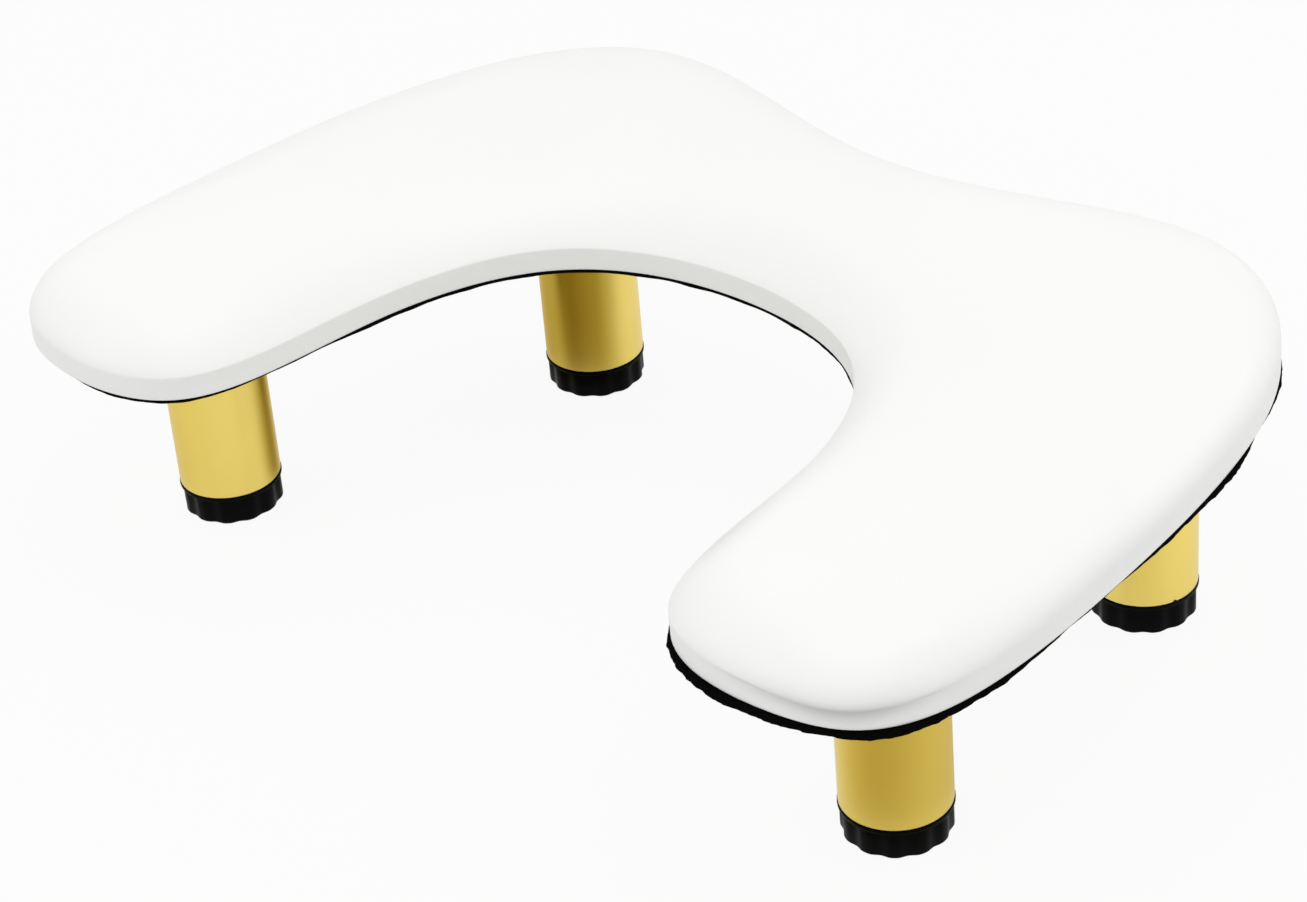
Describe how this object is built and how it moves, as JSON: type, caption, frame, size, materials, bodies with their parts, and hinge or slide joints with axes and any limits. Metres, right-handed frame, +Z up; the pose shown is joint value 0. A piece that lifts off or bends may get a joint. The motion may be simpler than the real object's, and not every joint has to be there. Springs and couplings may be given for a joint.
{
  "type": "manicure hand rest",
  "caption": "Soft white leather-covered hand rest, a crowned butterfly-shaped pad with a deep bay, on brass-coloured tubular legs with black screw-in levelling feet.",
  "frame": {"origin": "on the floor under the middle of the pad's outline", "axes": "+Z up, +X to the user's right along the pad's length, -Y towards the open bay"},
  "size_m": [0.557, 0.378, 0.158],
  "materials": {
    "leather": "smooth white synthetic leather with a very fine grain and a soft sheen",
    "foam": "open-cell upholstery foam, hidden under the leather",
    "wood": "plain plywood, hidden",
    "felt": "matt black needled felt",
    "brass": "satin brass plate on steel tube",
    "steel": "zinc-plated steel",
    "plastic": "moulded black plastic with a low sheen",
    "rubber": "soft black rubber"
  },
  "bodies": {
    "pad_and_legs": {"pad_cover": "leather", "foam_pad": "foam", "base_board": "wood", "bottom_cloth": "felt", "mounting_plate_1": "steel", "plate_stud_1": "steel", "leg_tube_1": "brass", "top_plug_1": "plastic", "foot_bush_1": "plastic", "plate_screw_1_1": "steel", "plate_screw_1_2": "steel", "plate_screw_1_3": "steel", "plate_screw_1_4": "steel", "mounting_plate_2": "steel", "plate_stud_2": "steel", "leg_tube_2": "brass", "top_plug_2": "plastic", "foot_bush_2": "plastic", "plate_screw_2_1": "steel", "plate_screw_2_2": "steel", "plate_screw_2_3": "steel", "plate_screw_2_4": "steel", "mounting_plate_3": "steel", "plate_stud_3": "steel", "leg_tube_3": "brass", "top_plug_3": "plastic", "foot_bush_3": "plastic", "plate_screw_3_1": "steel", "plate_screw_3_2": "steel", "plate_screw_3_3": "steel", "plate_screw_3_4": "steel", "mounting_plate_4": "steel", "plate_stud_4": "steel", "leg_tube_4": "brass", "top_plug_4": "plastic", "foot_bush_4": "plastic", "plate_screw_4_1": "steel", "plate_screw_4_2": "steel", "plate_screw_4_3": "steel", "plate_screw_4_4": "steel"},
    "grip_1": {"foot_grip_1": "rubber"},
    "foot_1": {"levelling_foot_1": "plastic"},
    "grip_2": {"foot_grip_2": "rubber"},
    "foot_2": {"levelling_foot_2": "plastic"},
    "grip_3": {"foot_grip_3": "rubber"},
    "foot_3": {"levelling_foot_3": "plastic"},
    "grip_4": {"foot_grip_4": "rubber"},
    "foot_4": {"levelling_foot_4": "plastic"}
  },
  "joints": [
    {"name": "foot_1_rise", "type": "slide", "parent": "pad_and_legs", "child": "grip_1", "axis": [0, 0, -1], "range_m": [0, 0.012]},
    {"name": "foot_1_turn", "type": "hinge", "parent": "grip_1", "child": "foot_1", "pos_m": [-0.22559, -0.09507, 0], "axis": [0, 0, -1], "range_deg": [0, 1440]},
    {"name": "foot_2_rise", "type": "slide", "parent": "pad_and_legs", "child": "grip_2", "axis": [0, 0, -1], "range_m": [0, 0.012]},
    {"name": "foot_2_turn", "type": "hinge", "parent": "grip_2", "child": "foot_2", "pos_m": [-0.1593, 0.09847, 0], "axis": [0, 0, -1], "range_deg": [0, 1440]},
    {"name": "foot_3_rise", "type": "slide", "parent": "pad_and_legs", "child": "grip_3", "axis": [0, 0, -1], "range_m": [0, 0.012]},
    {"name": "foot_3_turn", "type": "hinge", "parent": "grip_3", "child": "foot_3", "pos_m": [0.20108, -0.09488, 0], "axis": [0, 0, -1], "range_deg": [0, 1440]},
    {"name": "foot_4_rise", "type": "slide", "parent": "pad_and_legs", "child": "grip_4", "axis": [0, 0, -1], "range_m": [0, 0.012]},
    {"name": "foot_4_turn", "type": "hinge", "parent": "grip_4", "child": "foot_4", "pos_m": [0.18854, 0.09866, 0], "axis": [0, 0, -1], "range_deg": [0, 1440]}
  ],
  "couplings": [
    {"joint": "foot_1_rise", "follows": "foot_1_turn", "m_per_rad": 0.0004774},
    {"joint": "foot_2_rise", "follows": "foot_2_turn", "m_per_rad": 0.0004774},
    {"joint": "foot_3_rise", "follows": "foot_3_turn", "m_per_rad": 0.0004774},
    {"joint": "foot_4_rise", "follows": "foot_4_turn", "m_per_rad": 0.0004774}
  ]
}
